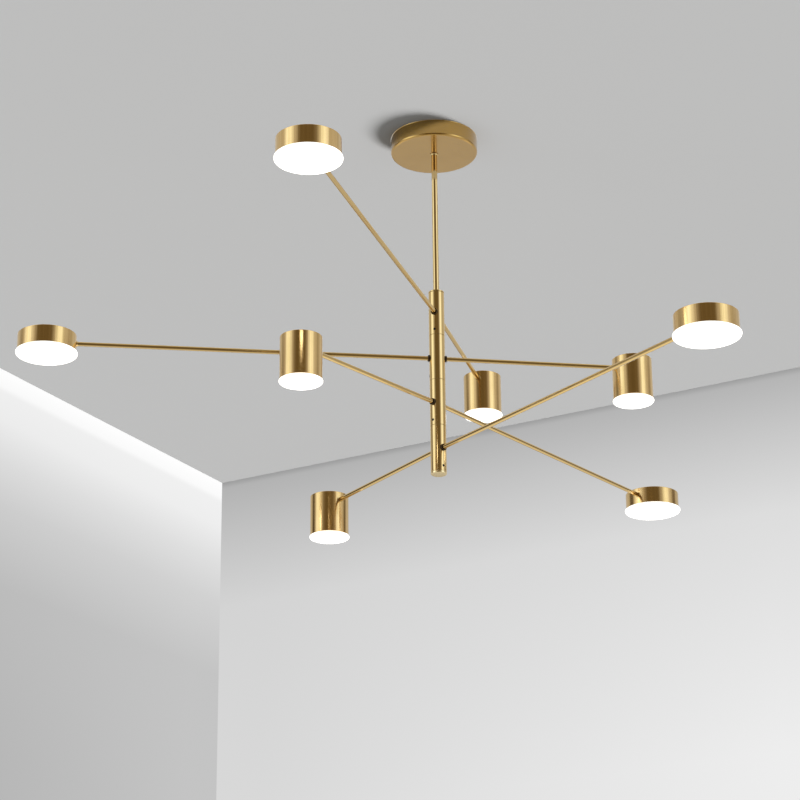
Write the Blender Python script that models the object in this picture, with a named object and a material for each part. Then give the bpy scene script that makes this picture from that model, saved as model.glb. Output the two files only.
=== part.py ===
"""Multi-arm ceiling light: four arms turn on one column, each with a disc lamp and a spot lamp.

Metres, +Z up. The origin is on the ceiling, at the column's axis.
Run with blender --background --python part.py
"""

import math

import bmesh
import bpy
from mathutils import Matrix, Vector

# Driving dimensions. Every other size follows from these.
GAP = 0.0003  # running and seating gap between touching pieces
THROUGH = 0.002  # how far a cutter runs on past a surface
SIDES = 28  # facets round a lamp
CANOPY_SIDES = 40
SMALL_SIDES = 20  # facets round the column's pieces
STEM_SIDES = 16
TINY_SIDES = 12  # facets round rods, bushes and screws

BRACKET_HALF_LENGTH = 0.050
BRACKET_HALF_WIDTH = 0.013
BRACKET_THICKNESS = 0.002
BRACKET_SLOT_OFFSET = 0.040  # ceiling screw slots, either side of the axis
BRACKET_SLOT_RADIUS = 0.0025
BRACKET_SLOT_STRAIGHT = 0.0035  # half of the slot's straight part
DRIVER_WING = (0.025, 0.044)  # half width along X, reach along Y
BLOCK_WING = (-0.036, -0.008, -0.038)  # its two sides along X, reach along Y
BOSS_RADIUS = 0.008
BOSS_DROP = 0.009

CANOPY_RADIUS = 0.060
CANOPY_HEIGHT = 0.0232
CANOPY_WALL = 0.0012
CANOPY_EDGE = 0.003
CANOPY_HOLE_GAP = 0.0004  # round the stem

DRIVER_LENGTH = 0.076
DRIVER_WIDTH = 0.027
DRIVER_HEIGHT = 0.0165
DRIVER_CENTRE_Y = 0.028
DRIVER_EDGE = 0.0015
CLIP_WIDTH = 0.012
CLIP_THICKNESS = 0.0008
BLOCK_SIZE = (0.024, 0.016, 0.0105)
BLOCK_CENTRE = (-0.022, -0.027)
BLOCK_EDGE = 0.0008
LEAD_RADIUS = 0.0012
LEAD_GAP = 0.0008  # a lead's cut end stands this far off the case it enters

STEM_RADIUS = 0.004
STEM_BORE = 0.0028
STEM_SHOWN = 0.2089  # bare stem between the canopy and the column
STEM_ENGAGED = 0.022  # length screwed into the core tube
STEM_SEAT = 0.0015  # between the stem's top and the strap
LEAD_SLOT = (0.008, 0.0044, 0.0105)  # where the lead enters the stem
LEAD_SLOT_HEIGHT = -0.01475
COLLAR_RADIUS = 0.00575
COLLAR_HEIGHT = 0.002
FINE_EDGE = 0.0005

COLUMN_RADIUS = 0.0106
HUB_PITCH = 0.0649
HUB_BORE = 0.0065
HUB_EDGE = 0.0004
CORE_WALL = 0.0019
CAP_HEIGHT = 0.0018
END_CAP_HEIGHT = 0.0029
END_CAP_EDGE = 0.0008
SPIGOT_HEIGHT = 0.008
WINDOW_SIZE = (0.030, 0.007, 0.012)  # wire windows through the core tube

ROD_RADIUS = 0.003
ROD_BORE = 0.002
BUSH_RADIUS = 0.0045
BUSH_PROUD = 0.0022  # how far a bush stands out of the column
BUSH_SEATED = 0.0018  # how deep it sits in the hub
BUSH_EDGE = 0.0004
SCREW_RADIUS = 0.0015
SCREW_LIFT = 0.007  # grub screw above the hub's lower end
SOCKET_RADIUS = 0.00085  # across the corners of its hexagon
SOCKET_DEPTH = 0.0015
LAMP_ENTRY = 0.006  # length of rod inside a lamp's wall

# One row for each arm, from the top down: azimuth of its long rod and of its short rod, in degrees.
ARMS = ((-105.2, 77.2), (-170.4, 10.8), (53.7, -128.4), (-51.5, 126.4))

LAMP_WALL = 0.0012
LAMP_EDGE = 0.0008
LIP_HEIGHT = 0.002
LIP_EDGE = 0.001
DIFFUSER_WALL = 0.0016
DIFFUSER_RIM = 0.0035
BOARD_THICKNESS = 0.0016
BOARD_CLEARANCE = 0.0008

# Per lamp: reach from the column's axis, radius, how far the diffuser's lip stands out past the shell,
# height, and height of the rod above the shell's lower edge.
LAMPS = {
    "disc": {"reach": 0.5192, "radius": 0.03885, "lip": 0.0018, "height": 0.0240, "rod_up": 0.0137},
    "spot": {"reach": 0.2680, "radius": 0.02700, "lip": 0.0008, "height": 0.0583, "rod_up": 0.0465},
}

# Heights worked out from the sizes above.
CANOPY_BOTTOM = -CANOPY_HEIGHT
COLUMN_TOP = CANOPY_BOTTOM - STEM_SHOWN
COLUMN_BOTTOM = COLUMN_TOP - len(ARMS) * HUB_PITCH
STEM_TOP = -BRACKET_THICKNESS - STEM_SEAT
CORE_RADIUS = HUB_BORE - GAP
CORE_BORE = CORE_RADIUS - CORE_WALL


# --- scene and materials -------------------------------------------------------------------------------


def clear_scene():
    for obj in list(bpy.data.objects):
        bpy.data.objects.remove(obj, do_unlink=True)


def make_material(name, colour, metallic, roughness):
    material = bpy.data.materials.new(name)
    material.use_nodes = True
    shader = material.node_tree.nodes["Principled BSDF"]
    shader.inputs["Base Color"].default_value = (*colour, 1.0)
    shader.inputs["Metallic"].default_value = metallic
    shader.inputs["Roughness"].default_value = roughness
    material.diffuse_color = (*colour, 1.0)
    return material


def make_materials():
    return {
        "brushed_brass": make_material("brushed_brass", (0.62, 0.43, 0.20), 1.0, 0.32),
        "polished_brass": make_material("polished_brass", (0.66, 0.46, 0.21), 1.0, 0.18),
        "satin_gold": make_material("satin_gold", (0.50, 0.34, 0.15), 0.9, 0.38),
        "zinc_steel": make_material("zinc_steel", (0.60, 0.61, 0.62), 1.0, 0.35),
        "steel_screw": make_material("steel_screw", (0.10, 0.09, 0.08), 1.0, 0.40),
        "black_bush": make_material("black_bush", (0.02, 0.02, 0.02), 0.0, 0.45),
        "white_plastic": make_material("white_plastic", (0.80, 0.80, 0.78), 0.0, 0.45),
        "board_metal": make_material("board_metal", (0.75, 0.76, 0.76), 0.6, 0.40),
        "opal_acrylic": make_material("opal_acrylic", (0.95, 0.94, 0.90), 0.0, 0.30),
        "lead_sheath": make_material("lead_sheath", (0.75, 0.75, 0.73), 0.0, 0.50),
    }


# --- shape helpers -------------------------------------------------------------------------------------


def finish_mesh(shape, name, smooth_angle=30.0):
    """Turns a bmesh into a mesh with its faces outwards and its round faces smooth."""
    bmesh.ops.remove_doubles(shape, verts=shape.verts, dist=1e-6)
    bmesh.ops.recalc_face_normals(shape, faces=shape.faces)
    mesh = bpy.data.meshes.new(name)
    shape.to_mesh(mesh)
    shape.free()
    mesh.shade_smooth()
    mesh.set_sharp_from_angle(angle=math.radians(smooth_angle))
    return mesh


def turned(name, profile, sides):
    """A closed outline of (radius, height) points, spun round the Z axis."""
    shape = bmesh.new()
    ring = [shape.verts.new((radius, 0.0, height)) for radius, height in profile]
    edges = [shape.edges.new((a, b)) for a, b in zip(ring, ring[1:] + ring[:1])]
    axis_edges = [e for e in edges if all(v.co.x < 1e-9 for v in e.verts)]
    edges = [e for e in edges if e not in axis_edges]
    for edge in axis_edges:
        shape.edges.remove(edge)
    bmesh.ops.spin(
        shape, geom=ring + edges, cent=(0, 0, 0), axis=(0, 0, 1), angle=math.tau, steps=sides, use_merge=True
    )
    return finish_mesh(shape, name)


def extruded(name, outline, low, high):
    """A flat outline of (x, y) points made into a plate between two heights."""
    shape = bmesh.new()
    face = shape.faces.new([shape.verts.new((x, y, low)) for x, y in outline])
    made = bmesh.ops.extrude_face_region(shape, geom=[face])["geom"]
    moved = [item for item in made if isinstance(item, bmesh.types.BMVert)]
    bmesh.ops.translate(shape, verts=moved, vec=(0, 0, high - low))
    return finish_mesh(shape, name)


def blocks(name, places):
    """Boxes in one mesh. Each place is (size, matrix)."""
    shape = bmesh.new()
    for size, matrix in places:
        bmesh.ops.create_cube(shape, size=1.0, matrix=matrix @ Matrix.Diagonal((*size, 1.0)))
    return finish_mesh(shape, name)


def edge_arc(centre, radius, start, end, steps=3):
    """Points along an arc in a turned outline, angles in degrees from the outward direction."""
    angles = [math.radians(start + (end - start) * i / steps) for i in range(steps + 1)]
    return [(centre[0] + radius * math.cos(a), centre[1] + radius * math.sin(a)) for a in angles]


def stadium(centre_x, half_straight, radius, steps=6):
    """The outline of a slot with round ends, lying along X."""
    points = []
    for side, start in ((1, -90.0), (-1, 90.0)):
        for i in range(steps + 1):
            angle = math.radians(start + 180.0 * i / steps)
            x = centre_x + side * half_straight + radius * math.cos(angle)
            points.append((x, radius * math.sin(angle)))
    return points


def place(name, mesh, material, parent=None, location=(0, 0, 0), rotation=(0, 0, 0)):
    """Adds the object to the scene. Copies that share a mesh share its material as well."""
    obj = bpy.data.objects.new(name, mesh)
    bpy.context.scene.collection.objects.link(obj)
    if material and not mesh.materials:
        mesh.materials.append(material)
    obj.parent = parent
    obj.location = location
    obj.rotation_euler = rotation
    return obj


def combine(operation, obj, mesh, parent=None, location=(0, 0, 0), rotation=(0, 0, 0)):
    """Joins a hidden tool's shape to the object or cuts it out, with a live Boolean."""
    tool = place(f"{obj.name}.tool{len(obj.modifiers)}", mesh, None, parent, location, rotation)
    tool.hide_render = True
    tool.display_type = "WIRE"
    modifier = obj.modifiers.new("shape", "BOOLEAN")
    modifier.operation = operation
    modifier.solver = "EXACT"
    modifier.object = tool


def cut(obj, mesh, parent=None, location=(0, 0, 0), rotation=(0, 0, 0)):
    combine("DIFFERENCE", obj, mesh, parent, location, rotation)


def along(azimuth):
    """The rotation that lays a piece turned on Z along a level line at this azimuth, in degrees."""
    return (0.0, math.pi / 2, math.radians(azimuth))


def outward(azimuth, distance, height=0.0):
    angle = math.radians(azimuth)
    return Vector((distance * math.cos(angle), distance * math.sin(angle), height))


def ring_profile(inner, outer, low, high, edge=0.0):
    """A tube's section, with its outer corners cut by a small chamfer."""
    if not edge:
        return [(inner, low), (outer, low), (outer, high), (inner, high)]
    return [
        (inner, low),
        (outer - edge, low),
        (outer, low + edge),
        (outer, high - edge),
        (outer - edge, high),
        (inner, high),
    ]


def disc_profile(radius, low, high):
    return [(0, low), (radius, low), (radius, high), (0, high)]


# --- ceiling rose --------------------------------------------------------------------------------------


def make_bracket(materials):
    """A flat strap with a wing over the driver, a smaller one over the terminals, and a boss for the stem."""
    length, width = BRACKET_HALF_LENGTH, BRACKET_HALF_WIDTH
    wing_side, wing_reach = DRIVER_WING
    block_left, block_right, block_reach = BLOCK_WING
    outline = [
        (length, -width),
        (length, width),
        (wing_side, width),
        (wing_side, wing_reach),
        (-wing_side, wing_reach),
        (-wing_side, width),
        (-length, width),
        (-length, -width),
        (block_left, -width),
        (block_left, block_reach),
        (block_right, block_reach),
        (block_right, -width),
    ]
    plate = extruded("ceiling_bracket", outline, -BRACKET_THICKNESS, 0.0)
    bracket = place("ceiling_bracket", plate, materials["zinc_steel"])
    boss = turned("boss", disc_profile(BOSS_RADIUS, -BOSS_DROP, -BRACKET_THICKNESS / 2), SMALL_SIDES)
    combine("UNION", bracket, boss)
    thread_profile = disc_profile(STEM_RADIUS + GAP, -BOSS_DROP - THROUGH, STEM_TOP + GAP)
    cut(bracket, turned("stem_thread", thread_profile, SMALL_SIDES))
    for side in (1, -1):
        outline = stadium(side * BRACKET_SLOT_OFFSET, BRACKET_SLOT_STRAIGHT, BRACKET_SLOT_RADIUS)
        cut(bracket, extruded("screw_slot", outline, -BRACKET_THICKNESS - THROUGH, THROUGH))


def make_canopy(materials):
    """An open-topped cup with a rounded lower edge and a hole for the stem."""
    outer, low, high = CANOPY_RADIUS, CANOPY_BOTTOM, -GAP
    inner = outer - CANOPY_WALL
    floor = low + CANOPY_WALL
    hole = STEM_RADIUS + CANOPY_HOLE_GAP
    profile = [(hole, low)]
    profile += edge_arc((outer - CANOPY_EDGE, low + CANOPY_EDGE), CANOPY_EDGE, -90, 0)
    profile += [(outer, high), (inner, high)]
    inner_edge = CANOPY_EDGE - CANOPY_WALL
    profile += edge_arc((inner - inner_edge, floor + inner_edge), inner_edge, 0, -90)
    profile += [(hole, floor)]
    place("canopy", turned("canopy", profile, CANOPY_SIDES), materials["satin_gold"])


def make_driver(materials):
    """The driver, hung under the bracket's wing in a clip, and the terminal block beside the strap."""
    top = -BRACKET_THICKNESS - GAP
    centre = Vector((0, DRIVER_CENTRE_Y, top - DRIVER_HEIGHT / 2))
    size = (DRIVER_LENGTH, DRIVER_WIDTH, DRIVER_HEIGHT)
    case = blocks("led_driver", [(size, Matrix())])
    driver = place("led_driver", case, materials["white_plastic"], None, centre)
    add_bevel(driver, DRIVER_EDGE, 2)
    low = top - DRIVER_HEIGHT - GAP
    inner = DRIVER_WIDTH / 2 + GAP
    outer = inner + CLIP_THICKNESS
    section = [
        (-outer, low - CLIP_THICKNESS),
        (outer, low - CLIP_THICKNESS),
        (outer, top),
        (inner, top),
        (inner, low),
        (-inner, low),
        (-inner, top),
        (-outer, top),
    ]
    band = extruded("driver_clip", section, -CLIP_WIDTH / 2, CLIP_WIDTH / 2)
    band.transform(Matrix.Rotation(math.radians(90), 4, "Z") @ Matrix.Rotation(math.radians(90), 4, "X"))
    place("driver_clip", band, materials["zinc_steel"], None, (0, DRIVER_CENTRE_Y, 0))
    where = (*BLOCK_CENTRE, top - BLOCK_SIZE[2] / 2)
    mesh = blocks("terminal_block", [(BLOCK_SIZE, Matrix())])
    block = place("terminal_block", mesh, materials["white_plastic"], None, where)
    add_bevel(block, BLOCK_EDGE, 1)


def add_bevel(obj, width, segments):
    bevel = obj.modifiers.new("edge", "BEVEL")
    bevel.width = width
    bevel.segments = segments
    bevel.limit_method = "ANGLE"


def smooth_route(points, steps=3):
    """Points along a Catmull-Rom curve through a route."""
    ends = [2 * points[0] - points[1], *points, 2 * points[-1] - points[-2]]
    found = []
    for a, b, c, d in zip(ends, ends[1:], ends[2:], ends[3:]):
        for i in range(steps):
            t = i / steps
            found.append(
                0.5
                * (
                    2 * b
                    + (c - a) * t
                    + (2 * a - 5 * b + 4 * c - d) * t * t
                    + (3 * b - a - 3 * c + d) * t * t * t
                )
            )
    return found + [points[-1]]


def make_lead(name, points, material):
    curve = bpy.data.curves.new(name, "CURVE")
    curve.dimensions = "3D"
    curve.bevel_depth = LEAD_RADIUS
    curve.bevel_resolution = 2
    curve.use_fill_caps = True
    spline = curve.splines.new("POLY")
    spline.points.add(len(points) - 1)
    for target, point in zip(spline.points, points):
        target.co = (*point, 1.0)
    curve.materials.append(material)
    obj = bpy.data.objects.new(name, curve)
    bpy.context.scene.collection.objects.link(obj)


def make_leads(materials):
    """Mains from the terminal block to the driver, and low voltage from the driver down the stem."""
    driver_end = DRIVER_LENGTH / 2 + LEAD_GAP
    height = -BRACKET_THICKNESS - DRIVER_HEIGHT / 2
    block_side = BLOCK_CENTRE[1] + BLOCK_SIZE[1] / 2 + LEAD_GAP
    mains = [
        (BLOCK_CENTRE[0] - 0.006, block_side, -0.0080),
        (BLOCK_CENTRE[0] - 0.006, block_side + 0.004, -0.0080),
        (-0.0400, 0.0000, height),
        (-0.0485, 0.0150, height),
        (-0.0470, 0.0260, height),
        (-driver_end - 0.004, DRIVER_CENTRE_Y, height),
        (-driver_end, DRIVER_CENTRE_Y, height),
    ]
    make_lead("mains_lead", smooth_route([Vector(p) for p in mains]), materials["lead_sheath"])
    output = [
        (driver_end, DRIVER_CENTRE_Y, height),
        (driver_end + 0.004, DRIVER_CENTRE_Y, height),
        (0.0475, 0.0230, height),
        (0.0450, 0.0120, height),
        (0.0300, 0.0020, -0.0115),
        (0.0150, 0.0, -0.0120),
        (0.0065, 0.0, -0.0130),
        (0.0022, 0.0, -0.0165),
        (0.0004, 0.0, -0.0215),
        (0.0, 0.0, -0.0300),
    ]
    route = smooth_route([Vector(p) for p in output])
    lowest_rod = COLUMN_BOTTOM + HUB_PITCH / 2
    route += [Vector((0, 0, lowest_rod / 2)), Vector((0, 0, lowest_rod))]
    make_lead("output_lead", route, materials["lead_sheath"])


# --- column --------------------------------------------------------------------------------------------


def make_column(materials):
    brass = materials["polished_brass"]
    low = COLUMN_TOP - STEM_ENGAGED
    profile = ring_profile(STEM_BORE, STEM_RADIUS, low, STEM_TOP)
    stem = place("stem_tube", turned("stem_tube", profile, STEM_SIDES), brass)
    slot_place = Matrix.Translation((LEAD_SLOT[0] / 2, 0, LEAD_SLOT_HEIGHT))
    cut(stem, blocks("lead_slot", [(LEAD_SLOT, slot_place)]))

    top = CANOPY_BOTTOM - GAP
    profile = ring_profile(STEM_RADIUS + GAP, COLLAR_RADIUS, top - COLLAR_HEIGHT, top, FINE_EDGE)
    place("stem_collar", turned("stem_collar", profile, SMALL_SIDES), brass)

    profile = ring_profile(STEM_RADIUS + GAP, COLUMN_RADIUS, COLUMN_TOP - CAP_HEIGHT, COLUMN_TOP, FINE_EDGE)
    place("top_cap", turned("top_cap", profile, SMALL_SIDES), brass)

    core_top = COLUMN_TOP - CAP_HEIGHT - GAP
    core_low = COLUMN_BOTTOM + GAP
    core_mesh = turned("core_tube", ring_profile(CORE_BORE, CORE_RADIUS, core_low, core_top), SMALL_SIDES)
    core = place("core_tube", core_mesh, materials["zinc_steel"])
    windows = []
    for index, (azimuth, _) in enumerate(ARMS):
        turn = Matrix.Rotation(math.radians(azimuth), 4, "Z")
        windows.append((WINDOW_SIZE, Matrix.Translation((0, 0, rod_height(index))) @ turn))
    cut(core, blocks("wire_windows", windows))

    spigot = CORE_BORE - GAP
    low = COLUMN_BOTTOM - END_CAP_HEIGHT
    profile = [
        (0, low),
        (COLUMN_RADIUS - END_CAP_EDGE, low),
        (COLUMN_RADIUS, low + END_CAP_EDGE),
        (COLUMN_RADIUS, COLUMN_BOTTOM),
        (spigot, COLUMN_BOTTOM),
        (spigot, COLUMN_BOTTOM + SPIGOT_HEIGHT),
        (0, COLUMN_BOTTOM + SPIGOT_HEIGHT),
    ]
    place("end_cap", turned("end_cap", profile, SMALL_SIDES), brass)


def rod_height(index):
    """Height of an arm's rods: the middle of its hub."""
    return COLUMN_TOP - (index + 0.5) * HUB_PITCH


# --- arms ----------------------------------------------------------------------------------------------


def make_empty(name, location, parent=None):
    empty = bpy.data.objects.new(name, None)
    bpy.context.scene.collection.objects.link(empty)
    empty.location = location
    empty.parent = parent
    return empty


def make_hub(number, swivel, azimuths, materials):
    """One length of the column with its two rod holes, their counterbores and the grub screw's hole."""
    top = HUB_PITCH / 2 - GAP / 2
    if number == 1:
        top -= CAP_HEIGHT + GAP
    low = -HUB_PITCH / 2 + GAP / 2
    profile = ring_profile(HUB_BORE, COLUMN_RADIUS, low, top, HUB_EDGE)
    mesh = turned(f"hub_{number}", profile, SMALL_SIDES)
    hub = place(f"hub_{number}", mesh, materials["polished_brass"], swivel)
    seat = COLUMN_RADIUS - BUSH_SEATED - GAP
    inside, reach = HUB_BORE - THROUGH, COLUMN_RADIUS + THROUGH
    hole = turned("rod_hole", disc_profile(ROD_RADIUS + GAP, inside, reach), TINY_SIDES)
    counterbore = turned("bush_hole", disc_profile(BUSH_RADIUS + GAP, seat, reach), TINY_SIDES)
    for azimuth in azimuths:
        cut(hub, hole, swivel, rotation=along(azimuth))
        cut(hub, counterbore, swivel, rotation=along(azimuth))
    front = min(azimuths, key=lambda azimuth: abs(azimuth + 90.0))
    height = -HUB_PITCH / 2 + SCREW_LIFT
    screw_hole = turned("screw_hole", disc_profile(SCREW_RADIUS + GAP, inside, reach), TINY_SIDES)
    cut(hub, screw_hole, swivel, (0, 0, height), along(front))
    screw_profile = disc_profile(SCREW_RADIUS, HUB_BORE + GAP, COLUMN_RADIUS - GAP)
    screw_mesh = turned(f"grub_screw_{number}", screw_profile, TINY_SIDES)
    lift, turn = (0, 0, height), along(front)
    screw = place(f"grub_screw_{number}", screw_mesh, materials["steel_screw"], swivel, lift, turn)
    socket_floor = COLUMN_RADIUS - GAP - SOCKET_DEPTH
    socket = turned("hex_socket", disc_profile(SOCKET_RADIUS, socket_floor, reach), 6)
    cut(screw, socket, swivel, lift, turn)


def make_rod(number, kind, swivel, azimuth, materials):
    """A hollow rod from the hub into its lamp, and the black bush where it leaves the hub."""
    lamp = LAMPS[kind]
    label = {"disc": "long", "spot": "short"}[kind]
    end = lamp["reach"] - lamp["radius"] + LAMP_ENTRY
    profile = ring_profile(ROD_BORE, ROD_RADIUS, HUB_BORE + GAP, end)
    mesh = turned(f"{label}_rod_{number}", profile, TINY_SIDES)
    place(f"{label}_rod_{number}", mesh, materials["polished_brass"], swivel, rotation=along(azimuth))
    inner = COLUMN_RADIUS - BUSH_SEATED
    profile = ring_profile(ROD_RADIUS + GAP, BUSH_RADIUS, inner, COLUMN_RADIUS + BUSH_PROUD, BUSH_EDGE)
    mesh = turned(f"{label}_bush_{number}", profile, TINY_SIDES)
    place(f"{label}_bush_{number}", mesh, materials["black_bush"], swivel, rotation=along(azimuth))


# --- lamps ---------------------------------------------------------------------------------------------


def lamp_meshes(kind, materials):
    """The three turned pieces of a lamp, with the rod's axis at height zero."""
    lamp = LAMPS[kind]
    radius, low = lamp["radius"], -lamp["rod_up"]
    high = low + lamp["height"]
    inner = radius - LAMP_WALL
    shell = [(inner, low), (radius, low)]
    shell += edge_arc((radius - LAMP_EDGE, high - LAMP_EDGE), LAMP_EDGE, 0, 90, 2)
    shell += [(0, high), (0, high - LAMP_WALL), (inner, high - LAMP_WALL)]
    lip, plug = radius + lamp["lip"], inner - GAP
    face = low - GAP - LIP_HEIGHT
    diffuser = [(0, face)]
    diffuser += edge_arc((lip - LIP_EDGE, face + LIP_EDGE), LIP_EDGE, -90, 0, 1)
    diffuser += [
        (lip, low - GAP),
        (plug, low - GAP),
        (plug, low + DIFFUSER_RIM),
        (plug - DIFFUSER_WALL, low + DIFFUSER_RIM),
        (plug - DIFFUSER_WALL, face + DIFFUSER_WALL),
        (0, face + DIFFUSER_WALL),
    ]
    rest = low + DIFFUSER_RIM + GAP
    board = disc_profile(inner - BOARD_CLEARANCE, rest, rest + BOARD_THICKNESS)
    meshes = {}
    for part, profile, finish in (
        ("shell", shell, "brushed_brass"),
        ("board", board, "board_metal"),
        ("diffuser", diffuser, "opal_acrylic"),
    ):
        meshes[part] = turned(f"{kind}_{part}", profile, SIDES)
        meshes[part].materials.append(materials[finish])
    return meshes


def make_lamp(number, kind, swivel, azimuth, meshes):
    """A lamp on its own roll axis, which is the rod's axis."""
    lamp = LAMPS[kind]
    roll = make_empty(f"{kind}_{number}_roll", outward(azimuth, lamp["reach"]), swivel)
    for part in ("shell", "board", "diffuser"):
        piece = place(f"{kind}_{part}_{number}", meshes[part], None, roll)
        if part == "shell":
            start, end = lamp["radius"] / 2, lamp["radius"] + THROUGH
            hole = turned("rod_entry", disc_profile(ROD_RADIUS + GAP, start, end), TINY_SIDES)
            cut(piece, hole, roll, rotation=along(azimuth + 180.0))


def make_arms(materials):
    lamp_parts = {kind: lamp_meshes(kind, materials) for kind in LAMPS}
    for index, azimuths in enumerate(ARMS):
        number = index + 1
        swivel = make_empty(f"arm_{number}_swivel", (0, 0, rod_height(index)))
        make_hub(number, swivel, azimuths, materials)
        for kind, azimuth in zip(("disc", "spot"), azimuths):
            make_rod(number, kind, swivel, azimuth, materials)
            make_lamp(number, kind, swivel, azimuth, lamp_parts[kind])


def main():
    clear_scene()
    materials = make_materials()
    make_bracket(materials)
    make_canopy(materials)
    make_driver(materials)
    make_leads(materials)
    make_column(materials)
    make_arms(materials)


main()
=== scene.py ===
# %% [markdown]
# # A ceiling light with eight lamps on four turning arms
#
# A canopy and a stem hang a brass column from the ceiling. Four hubs turn on the column's core tube, and
# each hub carries two level rods: a long one with a flat disc lamp and a short one with a spot lamp.
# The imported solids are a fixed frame. Every finer piece below takes its size and place from them, so it
# fits its neighbours, and it rides on the body that it belongs to.

# %% Load the fixed frame
import math

import bpy
from mathutils import Matrix, Vector


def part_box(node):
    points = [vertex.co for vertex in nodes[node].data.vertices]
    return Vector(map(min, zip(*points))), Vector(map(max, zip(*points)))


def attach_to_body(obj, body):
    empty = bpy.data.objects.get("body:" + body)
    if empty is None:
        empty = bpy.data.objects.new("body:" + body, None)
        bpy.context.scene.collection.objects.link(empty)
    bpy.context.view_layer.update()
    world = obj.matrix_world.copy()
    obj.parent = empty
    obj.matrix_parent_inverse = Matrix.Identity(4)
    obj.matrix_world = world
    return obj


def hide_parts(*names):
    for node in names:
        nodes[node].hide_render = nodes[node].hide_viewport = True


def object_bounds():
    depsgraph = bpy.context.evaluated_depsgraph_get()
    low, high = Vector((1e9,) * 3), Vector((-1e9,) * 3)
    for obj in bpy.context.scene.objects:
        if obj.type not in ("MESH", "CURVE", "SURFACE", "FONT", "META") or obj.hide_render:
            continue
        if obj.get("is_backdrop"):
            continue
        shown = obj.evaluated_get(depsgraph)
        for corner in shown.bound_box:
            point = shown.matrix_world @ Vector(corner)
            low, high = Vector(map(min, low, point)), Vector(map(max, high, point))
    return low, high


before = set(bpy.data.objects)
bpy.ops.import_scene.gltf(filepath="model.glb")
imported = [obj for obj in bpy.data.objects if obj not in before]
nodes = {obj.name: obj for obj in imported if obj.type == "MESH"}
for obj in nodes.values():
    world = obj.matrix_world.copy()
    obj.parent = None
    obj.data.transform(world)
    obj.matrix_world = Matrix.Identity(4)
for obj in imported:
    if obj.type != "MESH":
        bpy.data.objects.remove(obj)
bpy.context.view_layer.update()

# %% [markdown]
# ## The viewpoint
#
# The light is looked up at from the middle of a room, with a long lens, so that verticals stay nearly
# parallel. The camera is placed by its own height and distance and turned by three angles.

# %% Place the camera
CAMERA_PLACE = Vector((0.064, -3.091, -1.598))
CAMERA_TURN = math.radians(2.12)  # to the left
CAMERA_PITCH = math.radians(21.37)  # upwards
CAMERA_ROLL = math.radians(-0.51)
LENS_MM = 112.0
FARTHEST_SEEN = 60.0

camera = bpy.data.objects.new("camera", bpy.data.cameras.new("camera"))
bpy.context.scene.collection.objects.link(camera)
camera.data.lens = LENS_MM
camera.data.clip_end = FARTHEST_SEEN
turn = Matrix.Rotation(CAMERA_TURN, 4, "Z")
pitch = Matrix.Rotation(math.pi / 2 + CAMERA_PITCH, 4, "X")
roll = Matrix.Rotation(CAMERA_ROLL, 4, "Z")
camera.matrix_world = Matrix.Translation(CAMERA_PLACE) @ turn @ pitch @ roll
bpy.context.scene.camera = camera
bpy.context.scene.view_settings.view_transform = "Standard"
print("camera to column:", round(CAMERA_PLACE.length, 3), "m")

# %% [markdown]
# ## Small helpers for node trees
#
# Every material and every Geometry Nodes tree below is a list of nodes. `node` adds one and fills its
# inputs, each with a plain value or with the output of an earlier node. `maths` is the same for one sum,
# `join` for a vector and `on_circle` for a point at a radius and an angle. `share_between` turns a value into
# a share of a range, and `blend` mixes two colours by such a share.


# %% Helpers for node trees
def node(tree, kind, inputs=None, **settings):
    made = tree.nodes.new(kind)
    for name, value in settings.items():
        setattr(made, name, value)
    for key, value in (inputs or {}).items():
        if isinstance(value, bpy.types.NodeSocket):
            tree.links.new(value, made.inputs[key])
        else:
            made.inputs[key].default_value = value
    return made


def maths(tree, operation, first, second=0.0, third=0.0):
    return node(tree, "ShaderNodeMath", {0: first, 1: second, 2: third}, operation=operation).outputs[0]


def join(tree, x=0.0, y=0.0, z=0.0):
    return node(tree, "ShaderNodeCombineXYZ", {0: x, 1: y, 2: z}).outputs[0]


def on_circle(tree, radius, angle, height):
    x = maths(tree, "MULTIPLY", radius, maths(tree, "COSINE", angle))
    y = maths(tree, "MULTIPLY", radius, maths(tree, "SINE", angle))
    return join(tree, x, y, height)


def share_between(tree, value, start, end):
    """0 where the value is at the start and 1 where it is at the end."""
    return node(tree, "ShaderNodeMapRange", {0: value, 1: start, 2: end, 3: 0.0, 4: 1.0}).outputs[0]


def blend(tree, mask, first, second):
    """Mixes two colours, each a plain one or another node's output."""
    inputs = {0: mask}
    for place, colour in ((6, first), (7, second)):
        inputs[place] = colour if isinstance(colour, bpy.types.NodeSocket) else (*colour, 1.0)
    return node(tree, "ShaderNodeMix", inputs, data_type="RGBA").outputs[2]


def draw_ramp(ramp_node, stops):
    """Sets a colour ramp's stops, each (place, (red, green, blue))."""
    elements = ramp_node.color_ramp.elements
    while len(elements) < len(stops):
        elements.new(0.5)
    for element, (place, colour) in zip(elements, stops):
        element.position = place
        element.color = (*colour, 1.0)


def new_group(name, kind, inputs, outputs):
    """A node group with named sockets, each given as (name, type) or (name, type, value)."""
    tree = bpy.data.node_groups.new(name, kind)
    for side, sockets in (("INPUT", inputs), ("OUTPUT", outputs)):
        for label, socket_type, *value in sockets:
            socket = tree.interface.new_socket(label, in_out=side, socket_type=f"NodeSocket{socket_type}")
            if value:
                socket.default_value = value[0]
    return tree, tree.nodes.new("NodeGroupInput").outputs, tree.nodes.new("NodeGroupOutput").inputs


print("helpers ready")

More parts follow.
